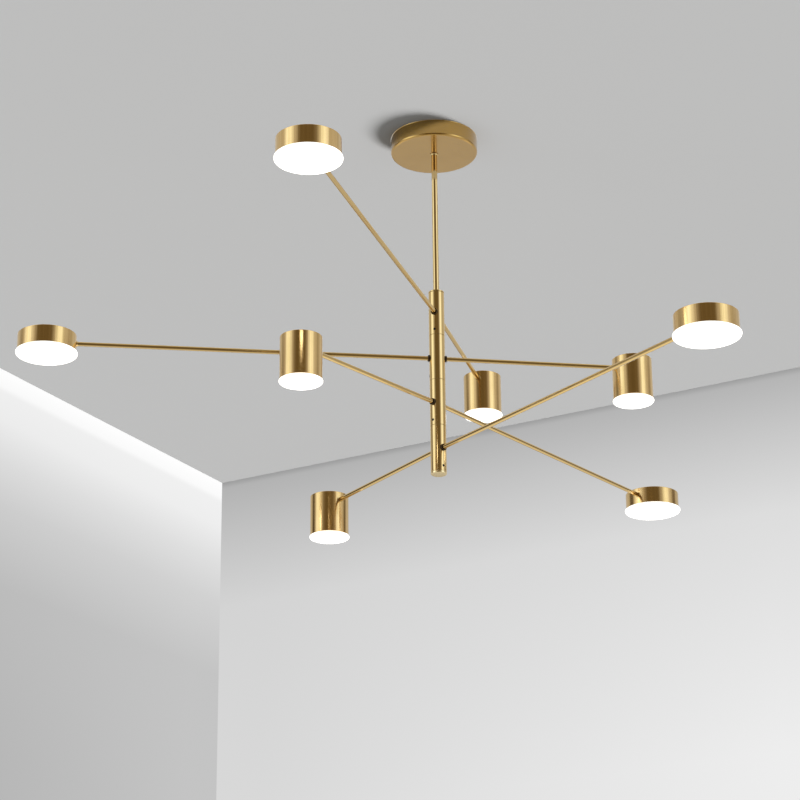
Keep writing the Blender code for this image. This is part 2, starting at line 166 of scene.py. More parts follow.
# %% [markdown]
# ## The room
#
# A plain ceiling, a floor and two pale walls. They are a backdrop and not part of the light. The ceiling
# and the floor are matt paint. The walls have no paint, only painted light that changes with the height:
# the left one is brightest just under the ceiling, as if lit from a cove, and the right one has a thin
# painted shadow line just under the ceiling. All faces show only from inside the room, so that a view from
# above or from behind sees the light and not the back of a wall. They cast no shadow and take no part in
# reflections, apart from a ring of ceiling paint round the canopy, which the canopy's side reflects.


# %% Paint and build the room
def room_surface(name, light, paint):
    """Paint of one grey with a light of its own. It lets rays from behind through."""
    material = bpy.data.materials.new(name)
    material.use_nodes = True
    tree = material.node_tree
    tree.nodes.clear()
    glow = node(tree, "ShaderNodeEmission", {"Color": light(tree)})
    matt = node(tree, "ShaderNodeBsdfDiffuse", {"Color": (paint, paint, paint, 1.0)})
    both = node(tree, "ShaderNodeAddShader", {0: glow.outputs[0], 1: matt.outputs[0]})
    back = node(tree, "ShaderNodeNewGeometry").outputs["Backfacing"]
    clear = node(tree, "ShaderNodeBsdfTransparent")
    either = node(tree, "ShaderNodeMixShader", {0: back, 1: both.outputs[0], 2: clear.outputs[0]})
    node(tree, "ShaderNodeOutputMaterial", {"Surface": either.outputs[0]})
    return material


def even_light(strength):
    return lambda tree: join(tree, strength, strength, strength)


def wall_light(stops, along, more):
    """Light by the depth under the ceiling, from stops of (metres, light), and more of it along the wall."""

    def build(tree):
        place = node(tree, "ShaderNodeTexCoord").outputs["Object"]
        height = node(tree, "ShaderNodeSeparateXYZ", {0: place}).outputs[2]
        depth = share_between(tree, height, WALL_ABOVE, -WALL_FADE)
        ramp = node(tree, "ShaderNodeValToRGB", {0: depth})
        whole = WALL_ABOVE + WALL_FADE
        draw_ramp(ramp, [((metres + WALL_ABOVE) / whole, [light] * 3) for metres, light in stops])
        way = node(tree, "ShaderNodeVectorMath", {0: place, 1: tuple(along)}, operation="DOT_PRODUCT")
        start = CORNER.dot(along)
        low, high = start + WALL_MORE_FROM, start + WALL_MORE_TO
        span = {0: way.outputs["Value"], 1: low, 2: high, 3: 0.0, 4: more}
        added = maths(tree, "MULTIPLY", node(tree, "ShaderNodeMapRange", span).outputs[0], depth)
        return node(tree, "ShaderNodeVectorMath", {0: ramp.outputs[0], 1: added}, operation="ADD").outputs[0]

    return build


def room_face(name, corners, material, faces=((0, 1, 2, 3),)):
    mesh = bpy.data.meshes.new(name)
    mesh.from_pydata(corners, [], faces)
    mesh.materials.append(material)
    face = bpy.data.objects.new(name, mesh)
    bpy.context.scene.collection.objects.link(face)
    face.visible_shadow = False
    face.visible_diffuse = False
    face.visible_glossy = False
    face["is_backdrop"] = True
    return face


CEILING_GREY, FLOOR_GREY = 0.272, 0.45
FLOOR_GLOW = 0.25
FLOOR_LEVEL = -2.6
CEILING_LEVEL = 0.0002  # a hair above the canopy's rim
WALL_TOP = 3.0
ROOM_REACH = 7.0
PATCH_LEVEL = 0.0001
PATCH_RADII = (0.062, 0.13)
PATCH_SIDES = 64
CORNER = Vector((-0.446, 1.407, 0.0))  # where the two walls meet under the ceiling
RIGHT_WALL = Vector((1.048, -0.529, 0.0)).normalized()
LEFT_WALL = Vector((-0.314, -0.607, 0.0)).normalized()

WALL_FADE = 0.66  # depth at which a wall's light stops changing
WALL_ABOVE = 0.05  # height above the ceiling from which it changes, seen only from above
WALL_MORE_FROM, WALL_MORE_TO = 0.1, 1.1  # the stretch of a wall over which more light comes in
RIGHT_MORE, LEFT_MORE = 0.16, -0.14  # the left wall gets less
# The right wall's first two stops paint a thin shadow line just under the ceiling.
RIGHT_LIGHT = ((0.0, 0.33), (0.012, 0.45), (0.10, 0.53), (0.25, 0.655), (0.66, 0.69))
# Painted light on the left wall, brightest just under the ceiling as if lit from a cove.
LEFT_LIGHT = (
    (-0.001, 0.55),
    (0.0, 1.0),
    (0.03, 0.96),
    (0.04, 0.875),
    (0.09, 0.855),
    (0.16, 0.74),
    (0.24, 0.64),
    (0.38, 0.55),
)

ceiling_paint = room_surface("ceiling_paint", even_light(0.0), CEILING_GREY)
floor_paint = room_surface("floor_paint", even_light(FLOOR_GLOW), FLOOR_GREY)
# The walls' look is all painted light and painted shade, with no paint under it.
right_painted_light = room_surface("right_wall_painted_light", wall_light(RIGHT_LIGHT, RIGHT_WALL, RIGHT_MORE), 0.0)
left_painted_light = room_surface("left_wall_painted_light", wall_light(LEFT_LIGHT, LEFT_WALL, LEFT_MORE), 0.0)
square = [(-1, -1), (1, -1), (1, 1), (-1, 1)]
floor_corners = [(x * ROOM_REACH, y * ROOM_REACH, FLOOR_LEVEL) for x, y in square]
ceiling_corners = [(y * ROOM_REACH, x * ROOM_REACH, CEILING_LEVEL) for x, y in square]
room_face("room_floor", floor_corners, floor_paint)
room_face("room_ceiling", ceiling_corners, ceiling_paint)
steps = [math.tau * step / PATCH_SIDES for step in range(PATCH_SIDES)]
ring = [(radius * math.sin(a), radius * math.cos(a), PATCH_LEVEL) for a in steps for radius in PATCH_RADII]
ring_faces = [[(2 * step + corner) % len(ring) for corner in (0, 1, 3, 2)] for step in range(PATCH_SIDES)]
room_face("ceiling_patch", ring, ceiling_paint, ring_faces).visible_glossy = True
low, high = Vector((0, 0, FLOOR_LEVEL)), Vector((0, 0, WALL_TOP))
far_right, far_left = CORNER + RIGHT_WALL * ROOM_REACH, CORNER + LEFT_WALL * ROOM_REACH
room_face("room_right_wall", [far_right + low, far_right + high, CORNER + high, CORNER + low], right_painted_light)
room_face("room_left_wall", [CORNER + low, CORNER + high, far_left + high, far_left + low], left_painted_light)
print("room height:", -FLOOR_LEVEL, "m")

# %% [markdown]
# ## Soft studio light
#
# Brass shows what stands round it, so the light is drawn as a surround: an even pale room, with panels
# before it. A dark panel stands behind the viewer, and a tall soft light on either side of it, so that
# each round piece carries a dark centre between two bright bands, as turned brass does in a studio. The far
# side is pale, brighter low down, and three small dark panels give the rims of round pieces an edge. The
# camera itself sees a plain grey instead. A sun from low on the far side gives the canopy its shadow, and
# nothing else casts one in its light.


# %% Light the room
def window(tree, value, low, high, soft):
    """1 between low and high, fading to 0 over soft on either side."""
    rise = {0: value, 1: low - soft, 2: low + soft, 3: 0.0, 4: 1.0}
    fall = {0: value, 1: high - soft, 2: high + soft, 3: 1.0, 4: 0.0}
    rise = node(tree, "ShaderNodeMapRange", rise, interpolation_type="SMOOTHSTEP")
    fall = node(tree, "ShaderNodeMapRange", fall, interpolation_type="SMOOTHSTEP")
    return maths(tree, "MULTIPLY", rise.outputs[0], fall.outputs[0])


# Azimuth of a panel's middle from the viewer's side (right positive), its half width, its lowest and
# highest elevation, the softness of its upright edges and of its level ones, all in degrees, and its colour.
PANELS = (
    (180, 72, -52, -36, 14, 4, (1.04, 1.02, 0.97)),
    (180, 95, -24, 60, 12, 6, (0.62, 0.62, 0.60)),
    (-171, 10, -17, -3, 6, 3, (0.16, 0.12, 0.08)),
    (-106, 12, -13, 22, 6, 4, (0.08, 0.06, 0.035)),
    (107, 11, -6, 21, 6, 4, (0.12, 0.09, 0.06)),
    (-67, 15, -45, 70, 10, 10, (1.40, 1.56, 1.72)),
    (61, 13, -35, 70, 10, 10, (1.38, 1.54, 1.70)),
    (0, 35, -64, 50, 11, 10, (0.165, 0.127, 0.07)),
)
ROOM_LOW, ROOM_HIGH = (0.59, 0.59, 0.58), (0.66, 0.66, 0.66)
ROOM_TURNS = (-0.5, 0.6)  # sines of the elevations between which the room goes from low to high
SEEN_GREY = (0.62, 0.62, 0.62)


def surround():
    world = bpy.data.worlds.new("studio")
    world.use_nodes = True
    bpy.context.scene.world = world
    tree = world.node_tree
    tree.nodes.clear()
    direction = node(tree, "ShaderNodeTexCoord").outputs["Generated"]
    x, y, z = node(tree, "ShaderNodeSeparateXYZ", {0: direction}).outputs
    azimuth = maths(tree, "ARCTAN2", x, maths(tree, "MULTIPLY", y, -1.0))
    elevation = maths(tree, "DEGREES", maths(tree, "ARCSINE", z))
    colour = blend(tree, share_between(tree, z, *ROOM_TURNS), ROOM_LOW, ROOM_HIGH)
    for centre, half_width, low, high, soft, soft_ends, paint in PANELS:
        turned = maths(tree, "COSINE", maths(tree, "SUBTRACT", azimuth, math.radians(centre)))
        off_centre = maths(tree, "DEGREES", maths(tree, "ARCCOSINE", turned))
        across = window(tree, off_centre, -half_width, half_width, soft)
        upright = window(tree, elevation, low, high, soft_ends)
        colour = blend(tree, maths(tree, "MULTIPLY", across, upright), colour, paint)
    seen = node(tree, "ShaderNodeLightPath").outputs["Is Camera Ray"]
    background = node(tree, "ShaderNodeBackground", {"Color": blend(tree, seen, colour, SEEN_GREY)})
    node(tree, "ShaderNodeOutputWorld", {"Surface": background.outputs[0]})


surround()
SUN_FROM = Vector((0.76, 0.66, -0.66))  # low on the far right
SUN_STRENGTH = 7.3
SUN_WIDTH = math.radians(24.0)
sun = bpy.data.objects.new("key_sun", bpy.data.lights.new("key_sun", "SUN"))
bpy.context.scene.collection.objects.link(sun)
sun.data.energy = SUN_STRENGTH
sun.data.angle = SUN_WIDTH
sun.rotation_mode = "QUATERNION"
sun.rotation_quaternion = (-SUN_FROM).to_track_quat("-Z", "Y")
sun.visible_glossy = False
print("panels:", len(PANELS), "and one sun")

# %% [markdown]
# ## A lathe made of nodes
#
# Nearly every piece of this light is turned: it has one outline that goes once round an axis. So one
# Geometry Nodes tree does the work of a lathe. It rounds the outline's corners, each by its own amount,
# sweeps it round a circle and closes the poles. A screw modifier could sweep it as well, but the tree
# keeps rounding, sweeping and closing in one place, with named inputs.


# %% Build the lathe
SAME_POINT = 1e-6  # points closer than this are one point


def hand_over(tree, geometry, finish, result):
    """The last steps of a tree: real geometry, painted."""
    real = node(tree, "GeometryNodeRealizeInstances", {0: geometry}).outputs[0]
    painted = node(tree, "GeometryNodeSetMaterial", {0: real, "Material": finish}).outputs[0]
    tree.links.new(painted, result[0])
    return tree


def build_lathe():
    tree, given, result = new_group(
        "lathe",
        "GeometryNodeTree",
        [("Geometry", "Geometry"), ("Sides", "Int", 64), ("Corner Steps", "Int", 4), ("Finish", "Material")],
        [("Geometry", "Geometry")],
    )
    outline = node(tree, "GeometryNodeMeshToCurve", {0: given["Geometry"]}).outputs[0]
    noted = node(tree, "GeometryNodeInputNamedAttribute", {"Name": "rounding"}, data_type="FLOAT")
    fillet = node(tree, "GeometryNodeFilletCurve", {"Curve": outline}, mode="POLY")
    tree.links.new(given["Corner Steps"], fillet.inputs["Count"])
    tree.links.new(noted.outputs[0], fillet.inputs["Radius"])
    fillet.inputs["Limit Radius"].default_value = True
    section = node(tree, "GeometryNodeCaptureAttribute", domain="POINT")
    section.capture_items.new("VECTOR", "Section")
    tree.links.new(fillet.outputs[0], section.inputs[0])
    tree.links.new(node(tree, "GeometryNodeInputPosition").outputs[0], section.inputs[1])
    circle = node(tree, "GeometryNodeCurvePrimitiveCircle", {"Resolution": given["Sides"], "Radius": 1.0})
    round_way = node(tree, "GeometryNodeCaptureAttribute", domain="POINT")
    round_way.capture_items.new("INT", "Step")
    tree.links.new(circle.outputs[0], round_way.inputs[0])
    tree.links.new(node(tree, "GeometryNodeInputIndex").outputs[0], round_way.inputs[1])
    swept = node(tree, "GeometryNodeCurveToMesh", {0: round_way.outputs[0]})
    tree.links.new(section.outputs[0], swept.inputs["Profile Curve"])
    share = maths(tree, "DIVIDE", round_way.outputs[1], given["Sides"])
    angle = maths(tree, "MULTIPLY", share, math.tau)
    radius, _, height = node(tree, "ShaderNodeSeparateXYZ", {0: section.outputs[1]}).outputs
    spot = on_circle(tree, radius, angle, height)
    turned = node(tree, "GeometryNodeSetPosition", {0: swept.outputs[0], "Position": spot}).outputs[0]
    closed = node(tree, "GeometryNodeMergeByDistance", {0: turned, "Distance": SAME_POINT}).outputs[0]
    outwards = node(tree, "GeometryNodeFlipFaces", {0: closed}).outputs[0]
    return hand_over(tree, outwards, given["Finish"], result)


lathe = build_lathe()
print("lathe inputs:", [item.name for item in lathe.interface.items_tree if item.in_out == "INPUT"])

# %% [markdown]
# ## A drill made of nodes
#
# Hubs, lamp shells and the stem have holes bored from the side. The drill lays a rod of the hole's size along
# a level line at an azimuth and takes it out of the piece with an exact Boolean.


# %% Build the drill
def take_out(tree, piece, tool):
    meshes = {"Mesh 1": piece, "Mesh 2": tool}
    cut = node(tree, "GeometryNodeMeshBoolean", meshes, operation="DIFFERENCE", solver="EXACT")
    return cut.outputs[0]


def build_drill():
    tree, given, result = new_group(
        "side_drill",
        "GeometryNodeTree",
        [
            ("Geometry", "Geometry"),
            ("Radius", "Float", 0.003),
            ("Start", "Float", 0.0),
            ("End", "Float", 0.01),
            ("Azimuth", "Float", 0.0),
            ("Height", "Float", 0.0),
            ("Sides", "Int", 32),
            ("Finish", "Material"),
        ],
        [("Geometry", "Geometry")],
    )
    depth = maths(tree, "SUBTRACT", given["End"], given["Start"])
    rod_size = {"Vertices": given["Sides"], "Radius": given["Radius"], "Depth": depth}
    rod = node(tree, "GeometryNodeMeshCylinder", rod_size).outputs["Mesh"]
    middle = maths(tree, "MULTIPLY", maths(tree, "ADD", given["Start"], given["End"]), 0.5)
    out = join(tree, z=middle)
    moved = node(tree, "GeometryNodeTransform", {0: rod, "Translation": out}).outputs[0]
    tilt = join(tree, y=math.pi / 2, z=given["Azimuth"])
    lift = join(tree, z=given["Height"])
    aimed = node(tree, "GeometryNodeTransform", {0: moved, "Rotation": tilt, "Translation": lift}).outputs[0]
    bored = take_out(tree, given["Geometry"], aimed)
    return hand_over(tree, bored, given["Finish"], result)


drill = build_drill()
print("drill inputs:", [item.name for item in drill.interface.items_tree if item.in_out == "INPUT"])

# %% [markdown]
# ## From a tree to a plain piece
#
# `run_trees` puts one or more trees on an object, gives each its inputs by the socket's identifier, and
# takes the evaluated result as a plain mesh. `finish_piece` marks sharp edges, remembers where each point
# was on the lathe for the patterns of the finishes, and moves the mesh into place. The object itself stays
# at the origin. `turn_piece` does all of this for a turned piece, and `attach` lets a piece ride on its body
# and stand for its solid.


# %% Helpers for pieces
SHARP_EDGE, BROKEN_EDGE, SOFT_EDGE = 0.0002, 0.0003, 0.0005  # roundings that many pieces share
SHARP_OVER = math.radians(32.0)


def run_trees(name, mesh, steps):
    """Each step is (tree, {input name: value}). Returns the evaluated mesh."""
    worker = bpy.data.objects.new(name, mesh)
    bpy.context.scene.collection.objects.link(worker)
    for tree, values in steps:
        sockets = {item.name: item.identifier for item in tree.interface.items_tree if item.in_out == "INPUT"}
        modifier = worker.modifiers.new(tree.name, "NODES")
        modifier.node_group = tree
        for label, value in values.items():
            modifier[sockets[label]] = value
    evaluated = worker.evaluated_get(bpy.context.evaluated_depsgraph_get())
    made = bpy.data.meshes.new_from_object(evaluated)
    bpy.data.objects.remove(worker)
    bpy.data.meshes.remove(mesh)
    made.name = name
    return made


def outline_mesh(corners):
    """A turned outline of (radius, height, rounding) corners, drawn anticlockwise with the axis on its left.
    It is left open where it starts and ends on the axis."""
    mesh = bpy.data.meshes.new("outline")
    count = len(corners)
    edges = [(i, i + 1) for i in range(count - 1)]
    if corners[0][0] > 0 or corners[-1][0] > 0:
        edges.append((count - 1, 0))
    mesh.from_pydata([(corner[0], 0.0, corner[1]) for corner in corners], edges, [])
    rounding = mesh.attributes.new("rounding", "FLOAT", "POINT")
    rounding.data.foreach_set("value", [corner[2] if len(corner) > 2 else 0.0 for corner in corners])
    return mesh


def finish_piece(name, mesh, place):
    mesh.shade_smooth()
    mesh.set_sharp_from_angle(angle=SHARP_OVER)
    at_lathe = mesh.attributes.new("lathe", "FLOAT_VECTOR", "POINT")
    at_lathe.data.foreach_set("vector", [x for vertex in mesh.vertices for x in vertex.co])
    mesh.transform(place)
    piece = bpy.data.objects.new(name, mesh)
    bpy.context.scene.collection.objects.link(piece)
    weighted = piece.modifiers.new("weighted_normals", "WEIGHTED_NORMAL")
    weighted.keep_sharp = True
    return piece


def attach(piece, body, stands_for=()):
    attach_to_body(piece, body)
    if stands_for:
        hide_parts(*stands_for)


def turn_piece(name, corners, finish, sides, place=Matrix(), holes=(), steps=4):
    trees = [(lathe, {"Sides": sides, "Corner Steps": steps, "Finish": finish})]
    trees += [(drill, {"Finish": finish, **hole}) for hole in holes]
    return finish_piece(name, run_trees(name, outline_mesh(corners), trees), place)


def tube_outline(inner, outer, low, high, rounding):
    return [(inner, low), (outer, low, rounding), (outer, high, rounding), (inner, high)]


def sideways(azimuth, height):
    """Lays a piece that was turned on Z along the level line at this azimuth."""
    lift = Matrix.Translation((0, 0, height))
    return lift @ Matrix.Rotation(azimuth, 4, "Z") @ Matrix.Rotation(math.pi / 2, 4, "Y")


print("helpers ready")

# %% [markdown]
# ## Effects that several finishes share
#
# Brass tube is drawn through a die and then brushed, which leaves fine lines along it. Flat ends are
# faced on a lathe, which leaves rings. Every finish also has soft patches from handling, and a little
# dust settles on what faces up. Each effect is one node group that puts out masks between 0 and 1.


# %% Build the shared effects
NOISE_SPAN = (0.3, 0.7)  # the part of a noise's range that a mask is spread over
PATCH_SPAN = (0.35, 0.65)


def build_streaks():
    """Lines along the Z axis of the vector: fine ones and broad ones."""
    group, given, result = new_group(
        "drawn_streaks",
        "ShaderNodeTree",
        [("Vector", "Vector"), ("Across", "Float", 900.0), ("Along", "Float", 6.0)],
        [("Fine", "Float"), ("Broad", "Float")],
    )
    across, along = given["Across"], given["Along"]
    stretch = join(group, across, across, along)
    place = node(group, "ShaderNodeVectorMath", {0: given["Vector"], 1: stretch}, operation="MULTIPLY")
    for label, share in (("Fine", 1.0), ("Broad", 0.3)):
        scaled = node(group, "ShaderNodeVectorMath", {0: place.outputs[0], 3: share}, operation="SCALE")
        noise = node(group, "ShaderNodeTexNoise", {"Vector": scaled.outputs[0], "Scale": 1.0, "Detail": 2.0})
        group.links.new(share_between(group, noise.outputs[0], *NOISE_SPAN), result[label])
    return group


def build_rings():
    """Facing rings round the Z axis of the vector, on flat ends as well as on the sides."""
    group, given, result = new_group(
        "facing_rings",
        "ShaderNodeTree",
        [("Vector", "Vector"), ("Density", "Float", 2500.0)],
        [("Rings", "Float")],
    )
    x, y, z = node(group, "ShaderNodeSeparateXYZ", {0: given["Vector"]}).outputs
    flat = join(group, x, y)
    radius = node(group, "ShaderNodeVectorMath", {0: flat}, operation="LENGTH").outputs["Value"]
    place = join(group, radius, z)
    noise = node(group, "ShaderNodeTexNoise", {"Vector": place, "Scale": given["Density"], "Detail": 3.0})
    group.links.new(share_between(group, noise.outputs[0], *NOISE_SPAN), result[0])
    return group


def build_grain():
    """Even fine grain, as on satin paint, cast metal and moulded plastic."""
    group, given, result = new_group(
        "fine_grain",
        "ShaderNodeTree",
        [("Vector", "Vector"), ("Density", "Float", 1500.0)],
        [("Grain", "Float")],
    )
    fine = {"Vector": given["Vector"], "Scale": given["Density"], "Detail": 2.0, "Roughness": 0.6}
    noise = node(group, "ShaderNodeTexNoise", fine)
    group.links.new(share_between(group, noise.outputs[0], *NOISE_SPAN), result[0])
    return group


def build_handling():
    """Soft patches where hands and polish have been, and dust on faces that look up."""
    group, given, result = new_group(
        "handling",
        "ShaderNodeTree",
        [("Vector", "Vector"), ("Patch Density", "Float", 45.0), ("Dust", "Float", 0.3)],
        [("Patches", "Float"), ("Dust", "Float")],
    )
    place, density = given["Vector"], given["Patch Density"]
    noise = node(group, "ShaderNodeTexNoise", {"Vector": place, "Scale": density, "Detail": 3.0})
    group.links.new(share_between(group, noise.outputs[0], *PATCH_SPAN), result["Patches"])
    normal = node(group, "ShaderNodeNewGeometry").outputs["Normal"]
    up = node(group, "ShaderNodeSeparateXYZ", {0: normal}).outputs[2]
    facing = share_between(group, up, 0.6, 1.0)
    specks = node(group, "ShaderNodeTexNoise", {"Vector": place, "Scale": 260.0, "Detail": 4.0})
    lying = maths(group, "MULTIPLY", facing, maths(group, "MULTIPLY", specks.outputs[0], given["Dust"]))
    group.links.new(lying, result["Dust"])
    return group


streaks, rings, grain, handling = build_streaks(), build_rings(), build_grain(), build_handling()
print("effects:", [group.name for group in (streaks, rings, grain, handling)])

# %% [markdown]
# ## Helpers for finishes
#
# A finish starts as a Principled shader. Numbers that are the same all over go straight on its sockets.
# What changes over the surface comes from the effects: `level` turns a mask into a number between two
# others, `relief` raises the surface by a mask, and `under_dust` sets a colour and a roughness with the dust
# that lies on them.


# %% Helpers for finishes
def new_finish(name, **fixed):
    material = bpy.data.materials.new(name)
    material.use_nodes = True
    shader = material.node_tree.nodes["Principled BSDF"]
    for label, value in fixed.items():
        shader.inputs[label.replace("_", " ").title()].default_value = value
    return material, material.node_tree, shader


def use(tree, group, **values):
    inputs = {label.replace("_", " ").title(): value for label, value in values.items()}
    return node(tree, "ShaderNodeGroup", inputs, node_tree=group).outputs


def level(tree, mask, low, high):
    return node(tree, "ShaderNodeMapRange", {0: mask, 3: low, 4: high}).outputs[0]


def relief(tree, shader, height, depth):
    bump = node(tree, "ShaderNodeBump", {"Height": height, "Distance": depth, "Strength": 1.0})
    tree.links.new(bump.outputs[0], shader.inputs["Normal"])


def under_dust(tree, shader, dust, colour, rough, dulling):
    tree.links.new(blend(tree, dust, colour, DUST_COLOUR), shader.inputs["Base Color"])
    tree.links.new(maths(tree, "MULTIPLY_ADD", dust, dulling, rough), shader.inputs["Roughness"])


def on_lathe(tree):
    return node(tree, "ShaderNodeAttribute", attribute_name="lathe").outputs["Vector"]


def in_place(tree):
    return node(tree, "ShaderNodeTexCoord").outputs["Object"]


DUST_COLOUR = (0.42, 0.40, 0.37)
print("helpers ready")

# %% [markdown]
# ## Brass
#
# Three finishes come from the same alloy. The lamp shells are brushed along their height, which widens the
# bright bands and breaks them into lines. Stem, rods and column are polished, so their bands are narrow and
# sharp. The cap under the column is faced on a lathe, which leaves it paler. The canopy is a deeper satin
# gold under a clear coat. Real brass is a metal all through, so its colour is in the reflection: the base
# colour tints what the surface shows.


# %% Make the brass finishes
def make_brass(name, light, deep, gloss, across, depth):
    """gloss is (roughness of the smooth lines, of the rough ones)."""
    material, tree, shader = new_finish(name, metallic=1.0)
    lines = use(tree, streaks, vector=on_lathe(tree), across=across, along=5.0)
    ends = use(tree, rings, vector=on_lathe(tree), density=2200.0)
    used = use(tree, handling, vector=in_place(tree), patch_density=38.0, dust=0.35)
    both = maths(tree, "MULTIPLY_ADD", lines["Broad"], 0.55, maths(tree, "MULTIPLY", lines["Fine"], 0.30))
    tone = maths(tree, "MULTIPLY_ADD", used["Patches"], 0.15, both)
    worn = maths(tree, "MULTIPLY_ADD", used["Patches"], 0.35, maths(tree, "MULTIPLY", lines["Fine"], 0.65))
    metal, rough = blend(tree, tone, light, deep), level(tree, worn, *gloss)
    under_dust(tree, shader, used["Dust"], metal, rough, 0.5)
    height = maths(tree, "MULTIPLY_ADD", ends[0], 0.12, lines["Broad"])
    relief(tree, shader, height, depth)
    return material


def make_satin_gold():
    material, tree, shader = new_finish("satin_gold", metallic=1.0, coat_weight=1.0, coat_roughness=0.04)
    speck = use(tree, grain, vector=in_place(tree), density=1400.0)[0]
    used = use(tree, handling, vector=in_place(tree), patch_density=30.0, dust=0.5)
    tone = maths(tree, "MULTIPLY_ADD", speck, 0.6, maths(tree, "MULTIPLY", used["Patches"], 0.4))
    metal, rough = blend(tree, tone, *GOLD_TONES), level(tree, tone, *GOLD_GLOSS)
    under_dust(tree, shader, used["Dust"], metal, rough, 0.4)
    relief(tree, shader, speck, GOLD_RELIEF)
    return material


# Light and deep colour, roughness, density of the lines across and their relief in metres.
BRASSES = {
    "brushed_brass": ((0.88, 0.61, 0.29), (0.62, 0.42, 0.16), (0.10, 0.20), 800.0, 0.00004),
    "polished_brass": ((0.84, 0.615, 0.30), (0.72, 0.505, 0.205), (0.06, 0.12), 1500.0, 0.000002),
    "faced_brass": ((0.95, 0.78, 0.46), (0.88, 0.68, 0.36), (0.20, 0.34), 1500.0, 0.000004),
}
GOLD_TONES = (0.60, 0.36, 0.085), (0.52, 0.305, 0.065)
GOLD_GLOSS = (0.17, 0.25)
GOLD_RELIEF = 0.000006
finishes = {name: make_brass(name, *numbers) for name, numbers in BRASSES.items()}
finishes["satin_gold"] = make_satin_gold()
print("brass finishes:", sorted(finishes))

# %% [markdown]
# ## The other finishes
#
# The opal diffusers glow from within: brightest over the board, and a little dimmer and warmer at the lip.
# Bushes are dark bronzed metal, grub screws blackened steel. Bracket, clip and core tube are zinc plated,
# with the faint crystals that plating has. Driver, terminal block and leads are white moulded plastic. The
# boards are pale metal, and yellow phosphor covers their light chips.


# %% Make the other finishes
OPAL_STRENGTH = 1.6


def make_opal():
    material, tree, shader = new_finish("opal_acrylic", roughness=0.3)
    speck = use(tree, grain, vector=in_place(tree), density=900.0)[0]
    tree.links.new(blend(tree, speck, (0.93, 0.92, 0.89), (0.90, 0.88, 0.84)), shader.inputs["Base Color"])
    lip = node(tree, "ShaderNodeAttribute", attribute_name="rim_share").outputs["Fac"]
    glow = node(tree, "ShaderNodeValToRGB", {0: lip})
    draw_ramp(glow, [(0.0, (1.0, 0.985, 0.95)), (0.90, (1.0, 0.97, 0.91)), (0.99, (0.62, 0.58, 0.50))])
    tree.links.new(glow.outputs[0], shader.inputs["Emission Color"])
    shader.inputs["Emission Strength"].default_value = OPAL_STRENGTH
    return material


def make_plain_finish(name, light, deep, gloss, density, depth, dust, metallic):
    """Moulded, plated or cast: an even fine grain, a little dust and soft patches."""
    material, tree, shader = new_finish(name, metallic=metallic)
    speck = use(tree, grain, vector=in_place(tree), density=density)[0]
    used = use(tree, handling, vector=in_place(tree), dust=dust)
    tone = maths(tree, "MULTIPLY_ADD", speck, 0.5, maths(tree, "MULTIPLY", used["Patches"], 0.5))
    own, rough = blend(tree, tone, light, deep), level(tree, tone, *gloss)
    under_dust(tree, shader, used["Dust"], own, rough, 0.4)
    relief(tree, shader, speck, depth)
    return material


def make_zinc():
    material, tree, shader = new_finish("zinc_steel", metallic=1.0)
    place = in_place(tree)
    crystals = node(tree, "ShaderNodeTexVoronoi", {"Vector": place, "Scale": 420.0}).outputs["Color"]
    flake = node(tree, "ShaderNodeSeparateColor", {0: crystals}).outputs[0]
    used = use(tree, handling, vector=place, dust=0.4)
    scratch = use(tree, streaks, vector=place, across=220.0, along=2200.0)["Fine"]
    tone = maths(tree, "MULTIPLY_ADD", flake, 0.5, maths(tree, "MULTIPLY", scratch, 0.5))
    metal = blend(tree, tone, (0.66, 0.67, 0.68), (0.46, 0.47, 0.49))
    tree.links.new(blend(tree, used["Dust"], metal, DUST_COLOUR), shader.inputs["Base Color"])
    dull = maths(tree, "ADD", flake, used["Dust"])
    tree.links.new(level(tree, dull, 0.26, 0.44), shader.inputs["Roughness"])
    relief(tree, shader, tone, 0.00001)
    return material


# Light and deep colour, roughness, density and relief of the grain, dust, and how much of a metal it is.
WHITES = (0.80, 0.79, 0.76), (0.72, 0.71, 0.67)
PLAIN_FINISHES = {
    "black_bush": ((0.070, 0.042, 0.018), (0.035, 0.021, 0.010), (0.34, 0.46), 1800.0, 0.00002, 0.1, 0.85),
    "steel_screw": ((0.10, 0.09, 0.08), (0.05, 0.045, 0.04), (0.28, 0.42), 2500.0, 0.00001, 0.1, 1.0),
    "white_plastic": (*WHITES, (0.36, 0.50), 1300.0, 0.00001, 0.35, 0.0),
    "lead_sheath": (*WHITES, (0.30, 0.42), 600.0, 0.00001, 0.1, 0.0),
    "board_metal": ((0.84, 0.84, 0.82), (0.74, 0.75, 0.74), (0.30, 0.45), 700.0, 0.00001, 0.05, 0.2),
    "phosphor": ((0.90, 0.66, 0.12), (0.80, 0.52, 0.08), (0.35, 0.50), 3000.0, 0.00001, 0.0, 0.0),
}
finishes["opal_acrylic"] = make_opal()
finishes["zinc_steel"] = make_zinc()
for name, numbers in PLAIN_FINISHES.items():
    finishes[name] = make_plain_finish(name, *numbers)
print("finishes:", sorted(finishes))

# %% [markdown]
# ## Measures from the frame
#
# Each arm's rods point from the column to the centres of its two lamps, so their azimuths come from the
# lamps' solids. Radii and heights are read from the solids' boxes in the same way.


# %% Measure the frame
def middle(name):
    low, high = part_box(name)
    return (low + high) / 2


def size(name):
    low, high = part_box(name)
    return high - low


def azimuth_of(point):
    return math.atan2(point.y, point.x)


def reach_along(name, azimuth):
    """How far a node reaches from the column's axis along an azimuth."""
    direction = Vector((math.cos(azimuth), math.sin(azimuth), 0.0))
    return max(vertex.co.dot(direction) for vertex in nodes[name].data.vertices)


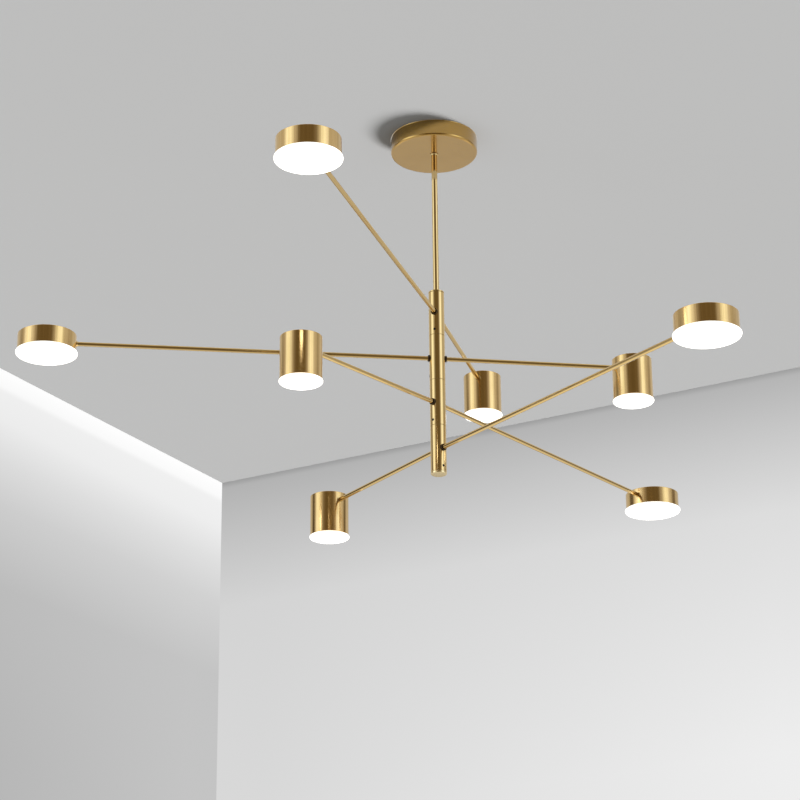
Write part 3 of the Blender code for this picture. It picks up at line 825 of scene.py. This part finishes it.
ARM_NUMBERS = (1, 2, 3, 4)
LAMP_KINDS = {"disc": "long", "spot": "short"}  # which rod carries which lamp
GAP = 0.0003  # left between touching pieces
COLUMN_RADIUS = size("hub_2").x / 2
HUB_BORE = 0.0065
HOLE_START = 0.001  # a side hole starts this far off the axis, so it goes through one wall only
DRILL_PAST = 0.002  # and the drill ends this far outside the piece
ROD_RADIUS = size("long_rod_2").z / 2
STEM_RADIUS = size("stem_tube").x / 2
LAMPS = [(kind, number) for number in ARM_NUMBERS for kind in LAMP_KINDS]
azimuths = {(kind, number): azimuth_of(middle(f"{kind}_shell_{number}")) for kind, number in LAMPS}
print("column radius:", round(COLUMN_RADIUS * 1000, 2), "mm, rod radius:", round(ROD_RADIUS * 1000, 2), "mm")

# %% [markdown]
# ## The canopy
#
# The canopy is one spun cup with a softly rounded lower edge and a hole for the stem. It is turned here from
# six corners, and the two roundings of its lower edge keep the wall's thickness. It alone casts a shadow in
# the sun's light.

# %% Turn the canopy
CANOPY_WALL = 0.0012
CANOPY_EDGE = 0.003
low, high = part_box("canopy")
canopy_radius = (high.x - low.x) / 2
canopy_outline = [
    (STEM_RADIUS + GAP, low.z),
    (canopy_radius, low.z, CANOPY_EDGE),
    (canopy_radius, high.z, BROKEN_EDGE),
    (canopy_radius - CANOPY_WALL, high.z, BROKEN_EDGE),
    (canopy_radius - CANOPY_WALL, low.z + CANOPY_WALL, CANOPY_EDGE - CANOPY_WALL),
    (STEM_RADIUS + GAP, low.z + CANOPY_WALL),
]
canopy = turn_piece("canopy_cup", canopy_outline, finishes["satin_gold"], 160, steps=8)
attach(canopy, "ceiling_fixing", ["canopy"])
shadow_of = bpy.data.collections.new("sun_shadow")
shadow_of.objects.link(canopy)
sun.light_linking.blocker_collection = shadow_of
print("canopy across:", round(canopy_radius * 2000, 1), "mm")

# %% [markdown]
# ## Stem, collar and the column's caps
#
# The stem is a drawn tube. A slot near its top lets the lead in, milled here as three overlapping holes.
# The collar is a small flared ring that hides the canopy's hole, and the column is closed by a thin cap
# above and by a bright turned cap below, whose spigot sits in the core tube.

# %% Turn the stem, collar and caps
STEM_BORE = 0.0028
STEM_SLOT_RADIUS = 0.0022
STEM_SLOT_DROPS = (0.0082, 0.0110, 0.0138)  # of the three holes, below the stem's top
COLLAR_FLARE = 0.0010
COLLAR_STEP = 0.0008
COLLAR_BAND = 0.0005
COLLAR_CURVE = 0.0006
END_CAP_EDGE = 0.0012
SPIGOT_EDGE = 0.0004
CORE_WALL = 0.0019
polished = finishes["polished_brass"]
low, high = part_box("stem_tube")
slot_hole = {"Radius": STEM_SLOT_RADIUS, "Start": HOLE_START, "End": STEM_RADIUS + DRILL_PAST, "Sides": 24}
slot_holes = [{**slot_hole, "Height": high.z - drop} for drop in STEM_SLOT_DROPS]
stem_outline = tube_outline(STEM_BORE, STEM_RADIUS, low.z, high.z, BROKEN_EDGE)
stem = turn_piece("stem", stem_outline, polished, 40, holes=slot_holes)
attach(stem, "ceiling_fixing", ["stem_tube"])

low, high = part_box("stem_collar")
collar_radius = (high.x - low.x) / 2
collar_outline = [
    (STEM_RADIUS + GAP, low.z),
    (collar_radius - COLLAR_FLARE, low.z, BROKEN_EDGE),
    (collar_radius - COLLAR_STEP, low.z + COLLAR_STEP, COLLAR_CURVE),
    (collar_radius, high.z - COLLAR_BAND, BROKEN_EDGE),
    (collar_radius, high.z, SHARP_EDGE),
    (STEM_RADIUS + GAP, high.z),
]
collar = turn_piece("stem_flange", collar_outline, polished, 64)
attach(collar, "ceiling_fixing", ["stem_collar"])

low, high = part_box("top_cap")
cap_outline = tube_outline(STEM_RADIUS + GAP, COLUMN_RADIUS, low.z, high.z, SOFT_EDGE)
cap = turn_piece("column_top_cap", cap_outline, polished, 80)
attach(cap, "ceiling_fixing", ["top_cap"])

low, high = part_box("end_cap")
column_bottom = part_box("hub_4")[0].z - GAP / 2
spigot_radius = size("core_tube").x / 2 - CORE_WALL - GAP
end_outline = [
    (0.0, low.z),
    (COLUMN_RADIUS, low.z, END_CAP_EDGE),
    (COLUMN_RADIUS, column_bottom, SHARP_EDGE),
    (spigot_radius, column_bottom),
    (spigot_radius, high.z, SPIGOT_EDGE),
    (0.0, high.z),
]
end = turn_piece("column_end_cap", end_outline, finishes["faced_brass"], 80)
attach(end, "ceiling_fixing", ["end_cap"])
print("stem length:", round(size("stem_tube").z * 1000, 1), "mm")

# %% [markdown]
# ## Hubs with their bushes and grub screws
#
# Each hub is a sleeve with two holes for the rods, a wider seat round each for a dark bush, and a tapped
# hole for the grub screw that sets how stiffly the hub turns. Its ends have a small rounding, so two hubs
# meet in a fine dark seam. Each rod hole runs only through its own side of the sleeve. A small tree of its
# own cuts the hexagon socket in the screw's end.

# %% Turn and drill the hubs
BUSH_SEATED = 0.0018
BUSH_RADIUS = 0.0045
BUSH_EDGE = 0.0007
HUB_EDGE = 0.0004
SCREW_RADIUS = 0.0015
SOCKET_RADIUS = 0.00085
SOCKET_DEPTH = 0.0018
HOLE_REACH = COLUMN_RADIUS + DRILL_PAST


def build_socket_cut():
    """Takes a hexagon socket out of a screw that stands on the Z axis."""
    tree, given, result = new_group(
        "hexagon_socket",
        "GeometryNodeTree",
        [
            ("Geometry", "Geometry"),
            ("Radius", "Float", 0.001),
            ("Low", "Float", 0.0),
            ("High", "Float", 0.01),
        ],
        [("Geometry", "Geometry")],
    )
    depth = maths(tree, "SUBTRACT", given["High"], given["Low"])
    middle_height = maths(tree, "MULTIPLY", maths(tree, "ADD", given["High"], given["Low"]), 0.5)
    key_size = {"Vertices": 6, "Radius": given["Radius"], "Depth": depth}
    key_shape = node(tree, "GeometryNodeMeshCylinder", key_size).outputs["Mesh"]
    lift = join(tree, z=middle_height)
    moved = node(tree, "GeometryNodeTransform", {0: key_shape, "Translation": lift}).outputs[0]
    cut = take_out(tree, given["Geometry"], moved)
    tree.links.new(node(tree, "GeometryNodeRealizeInstances", {0: cut}).outputs[0], result[0])
    return tree


def make_hub(number):
    body = f"arm_{number}"
    low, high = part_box(f"hub_{number}")
    rod_level = middle(f"long_rod_{number}").z
    holes = []
    for kind, rod in LAMP_KINDS.items():
        azimuth = azimuths[kind, number]
        place = sideways(azimuth, rod_level)
        inner = COLUMN_RADIUS - BUSH_SEATED
        outer = reach_along(f"{rod}_bush_{number}", azimuth)
        drilled = {"End": HOLE_REACH, "Azimuth": azimuth, "Height": rod_level}
        holes.append({"Radius": ROD_RADIUS + GAP, "Start": HOLE_START, **drilled})
        holes.append({"Radius": BUSH_RADIUS + GAP, "Start": inner - GAP, **drilled})
        bush_outline = tube_outline(ROD_RADIUS + GAP, BUSH_RADIUS, inner, outer, BUSH_EDGE)
        bush = turn_piece(f"{rod}_rod_bush_{number}", bush_outline, finishes["black_bush"], 40, place)
        attach(bush, body, [f"{rod}_bush_{number}"])
    screw_place = middle(f"grub_screw_{number}")
    screw_azimuth = azimuth_of(screw_place)
    drilled = {"End": HOLE_REACH, "Azimuth": screw_azimuth, "Height": screw_place.z}
    holes.append({"Radius": SCREW_RADIUS + GAP, "Start": HOLE_START, "Sides": 24, **drilled})
    hub_outline = tube_outline(HUB_BORE, COLUMN_RADIUS, low.z, high.z, HUB_EDGE)
    hub = turn_piece(f"turning_hub_{number}", hub_outline, polished, 80, holes=holes)
    attach(hub, body, [f"hub_{number}"])
    screw_outline = [
        (0.0, HUB_BORE + GAP),
        (SCREW_RADIUS, HUB_BORE + GAP, BROKEN_EDGE),
        (SCREW_RADIUS, COLUMN_RADIUS - GAP, SHARP_EDGE),
        (0.0, COLUMN_RADIUS - GAP),
    ]
    name = f"hub_screw_{number}"
    screw_trees = [
        (lathe, {"Sides": 24, "Corner Steps": 2, "Finish": finishes["steel_screw"]}),
        (socket_cut, {"Radius": SOCKET_RADIUS, "Low": COLUMN_RADIUS - SOCKET_DEPTH, "High": HOLE_REACH}),
    ]
    screw_mesh = run_trees(name, outline_mesh(screw_outline), screw_trees)
    screw = finish_piece(name, screw_mesh, sideways(screw_azimuth, screw_place.z))
    attach(screw, body, [f"grub_screw_{number}"])


socket_cut = build_socket_cut()
for number in ARM_NUMBERS:
    make_hub(number)
print("hubs:", len(ARM_NUMBERS), "each", round(size("hub_2").z * 1000, 1), "mm tall")

# %% [markdown]
# ## Rods
#
# The rods are drawn brass tube, 6 mm across. Each runs from its hub into its lamp, so it has the length of
# its own solid. They are hollow for the lamp's wires, and their ends are out of sight.


# %% Turn the rods
ROD_BORE = 0.002


def make_rod(kind, number):
    name = f"{LAMP_KINDS[kind]}_rod_{number}"
    azimuth = azimuths[kind, number]
    end = reach_along(name, azimuth)
    outline = tube_outline(ROD_BORE, ROD_RADIUS, HUB_BORE + GAP, end, BROKEN_EDGE)
    place = sideways(azimuth, middle(name).z)
    rod = turn_piece(f"{LAMP_KINDS[kind]}_arm_tube_{number}", outline, polished, 32, place, steps=2)
    attach(rod, f"arm_{number}", [name])
    return end


rod_ends = {round(make_rod(kind, number) * 1000, 1) for kind, number in LAMPS}
print("rod ends:", sorted(rod_ends), "mm from the axis")

# %% [markdown]
# ## Lamps
#
# A lamp is a brushed shell, open below, with a board of light chips held above an opal diffuser. The
# diffuser is a shallow cup whose lip stands a little out past the shell, all round: 1.8 mm on a disc and
# 0.8 mm on a spot. A thin brass ring closes the hole where the rod enters. The two kinds of lamp differ only
# in their sizes, so one function makes both from their solids.

# %% Make the lamps
LAMP_WALL = 0.0012
LAMP_EDGE = 0.0008
DIFFUSER_WALL = 0.0016
DIFFUSER_RIM = 0.0035
DIFFUSER_EDGE = 0.0011
RING_WALL = 0.0011
RING_PROUD, RING_INSIDE = 0.0010, 0.0008  # how far the entry ring stands out of the shell and reaches in


def rim_share(mesh, lip):
    """Notes for the glow how far each point is from the axis, as a share of the lip's radius."""
    share = mesh.attributes.new("rim_share", "FLOAT", "POINT")
    share.data.foreach_set("value", [math.hypot(vertex.co.x, vertex.co.y) / lip for vertex in mesh.vertices])


def make_lamp(kind, number):
    body = f"{kind}_{number}"
    centre = middle(f"{kind}_shell_{number}")
    azimuth = azimuths[kind, number]
    rod_level = middle(f"{LAMP_KINDS[kind]}_rod_{number}").z
    place = Matrix.Translation((centre.x, centre.y, rod_level))
    low, high = (corner.z - rod_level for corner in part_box(f"{kind}_shell_{number}"))
    radius = size(f"{kind}_shell_{number}").x / 2
    inner = radius - LAMP_WALL
    shell_outline = [
        (0.0, high - LAMP_WALL),
        (inner, high - LAMP_WALL, SOFT_EDGE),
        (inner, low, SHARP_EDGE),
        (radius, low, BROKEN_EDGE),
        (radius, high, LAMP_EDGE),
        (0.0, high),
    ]
    entry = {
        "Radius": ROD_RADIUS + GAP,
        "Start": radius / 2,
        "End": radius + DRILL_PAST,
        "Azimuth": azimuth + math.pi,
    }
    brushed = finishes["brushed_brass"]
    shell = turn_piece(f"{kind}_lamp_shell_{number}", shell_outline, brushed, 128, place, [entry])
    attach(shell, body, [f"{kind}_shell_{number}"])

    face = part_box(f"{kind}_diffuser_{number}")[0].z - rod_level
    lip = size(f"{kind}_diffuser_{number}").x / 2
    plug = inner - GAP
    diffuser_outline = [
        (0.0, face),
        (lip, face, DIFFUSER_EDGE),
        (lip, low - GAP, BROKEN_EDGE),
        (plug, low - GAP),
        (plug, low + DIFFUSER_RIM, BROKEN_EDGE),
        (plug - DIFFUSER_WALL, low + DIFFUSER_RIM, BROKEN_EDGE),
        (plug - DIFFUSER_WALL, face + DIFFUSER_WALL, SOFT_EDGE),
        (0.0, face + DIFFUSER_WALL),
    ]
    opal = turn_piece(f"{kind}_opal_{number}", diffuser_outline, finishes["opal_acrylic"], 128)
    rim_share(opal.data, lip)
    opal.data.transform(place)
    attach(opal, body, [f"{kind}_diffuser_{number}"])

    at_shell = math.hypot(centre.x, centre.y) - radius
    near, far = at_shell - RING_PROUD, at_shell + RING_INSIDE
    ring_outline = tube_outline(ROD_RADIUS + GAP, ROD_RADIUS + RING_WALL, near, far, BROKEN_EDGE)
    ring = turn_piece(f"{kind}_entry_ring_{number}", ring_outline, polished, 40, sideways(azimuth, rod_level))
    attach(ring, body)


for kind, number in LAMPS:
    make_lamp(kind, number)
print("lamps:", len(LAMPS))

# %% [markdown]
# ## Light chips on the boards
#
# Each board carries its light chips in rings round one in the middle: six in the first ring, twelve in the
# next, and so on. The nodes work out a chip's ring and its angle in the ring from its number alone.


# %% Set the light chips
RING_ROUNDING = 0.5 + 1e-4  # a hair over a half, so that no chip falls back into the ring before its own
CHIP_WIDTH, CHIP_HEIGHT = 0.0028, 0.0006
CHIP_RINGS = {"disc": (3, 0.0098), "spot": (2, 0.0085)}  # how many rings and how far apart


def build_chip_rings():
    tree, given, result = new_group(
        "chip_rings",
        "GeometryNodeTree",
        [
            ("Geometry", "Geometry"),
            ("Rings", "Int", 3),
            ("Pitch", "Float", 0.009),
            ("Chip Width", "Float", CHIP_WIDTH),
            ("Chip Height", "Float", CHIP_HEIGHT),
            ("Level", "Float", 0.0),
            ("Finish", "Material"),
        ],
        [("Geometry", "Geometry")],
    )
    one_ring_more = maths(tree, "ADD", given["Rings"], 1.0)
    count = maths(tree, "MULTIPLY_ADD", maths(tree, "MULTIPLY", given["Rings"], 3.0), one_ring_more, 1.0)
    chips = node(tree, "GeometryNodePoints", {"Count": count}).outputs[0]
    number = node(tree, "GeometryNodeInputIndex").outputs[0]
    after_middle = maths(tree, "SUBTRACT", number, 1.0)
    root = maths(tree, "SQRT", maths(tree, "MULTIPLY_ADD", after_middle, 1 / 3, 0.25))
    ring = maths(tree, "FLOOR", maths(tree, "ADD", root, RING_ROUNDING))
    ring = maths(tree, "MULTIPLY", ring, maths(tree, "MINIMUM", number, 1.0))
    first = maths(tree, "MULTIPLY", maths(tree, "MULTIPLY", ring, 3.0), maths(tree, "SUBTRACT", ring, 1.0))
    place_in_ring = maths(tree, "SUBTRACT", number, maths(tree, "ADD", first, 1.0))
    in_ring = maths(tree, "MAXIMUM", maths(tree, "MULTIPLY", ring, 6.0), 1.0)
    angle = maths(tree, "MULTIPLY", maths(tree, "DIVIDE", place_in_ring, in_ring), math.tau)
    radius = maths(tree, "MULTIPLY", ring, given["Pitch"])
    spot = on_circle(tree, radius, angle, given["Level"])
    placed = node(tree, "GeometryNodeSetPosition", {0: chips, "Position": spot}).outputs[0]
    chip_size = join(tree, given["Chip Width"], given["Chip Width"], given["Chip Height"])
    chip = node(tree, "GeometryNodeMeshCube", {"Size": chip_size}).outputs["Mesh"]
    set_out = {"Points": placed, "Instance": chip, "Rotation": join(tree, z=angle)}
    copies = node(tree, "GeometryNodeInstanceOnPoints", set_out).outputs[0]
    return hand_over(tree, copies, given["Finish"], result)


chip_rings = build_chip_rings()
for kind, number in LAMPS:
    ring_count, pitch = CHIP_RINGS[kind]
    values = {
        "Rings": ring_count,
        "Pitch": pitch,
        "Level": -GAP - CHIP_HEIGHT / 2,
        "Finish": finishes["phosphor"],
    }
    name = f"{kind}_light_chips_{number}"
    mesh = run_trees(name, bpy.data.meshes.new("empty"), [(chip_rings, values)])
    centre = middle(f"{kind}_board_{number}")
    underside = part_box(f"{kind}_board_{number}")[0].z
    chips = finish_piece(name, mesh, Matrix.Translation((centre.x, centre.y, underside)))
    attach(chips, f"{kind}_{number}")
print("light chips on a spot's board:", len(chips.data.polygons) // 6)

# %% [markdown]
# ## Finishes on the solids that stay
#
# Bracket, clip, driver, terminal block, core tube, leads and boards already have their real shapes, so
# their solids stay and only take a better finish, in the material slot that they have.

# %% Paint the solids that stay
KEPT = {
    "ceiling_bracket": "zinc_steel",
    "driver_clip": "zinc_steel",
    "core_tube": "zinc_steel",
    "led_driver": "white_plastic",
    "terminal_block": "white_plastic",
    "mains_lead": "lead_sheath",
    "output_lead": "lead_sheath",
}
for kind, number in LAMPS:
    KEPT[f"{kind}_board_{number}"] = "board_metal"
for name, finish in KEPT.items():
    nodes[name].data.materials.clear()
    nodes[name].data.materials.append(finishes[finish])
print("solids kept:", len(KEPT))

# %% [markdown]
# ## Sizes
#
# The finer model must stay inside the imported solids' box. Here the box of everything shown, without the
# room, is measured.

# %% Measure the sizes
low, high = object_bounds()
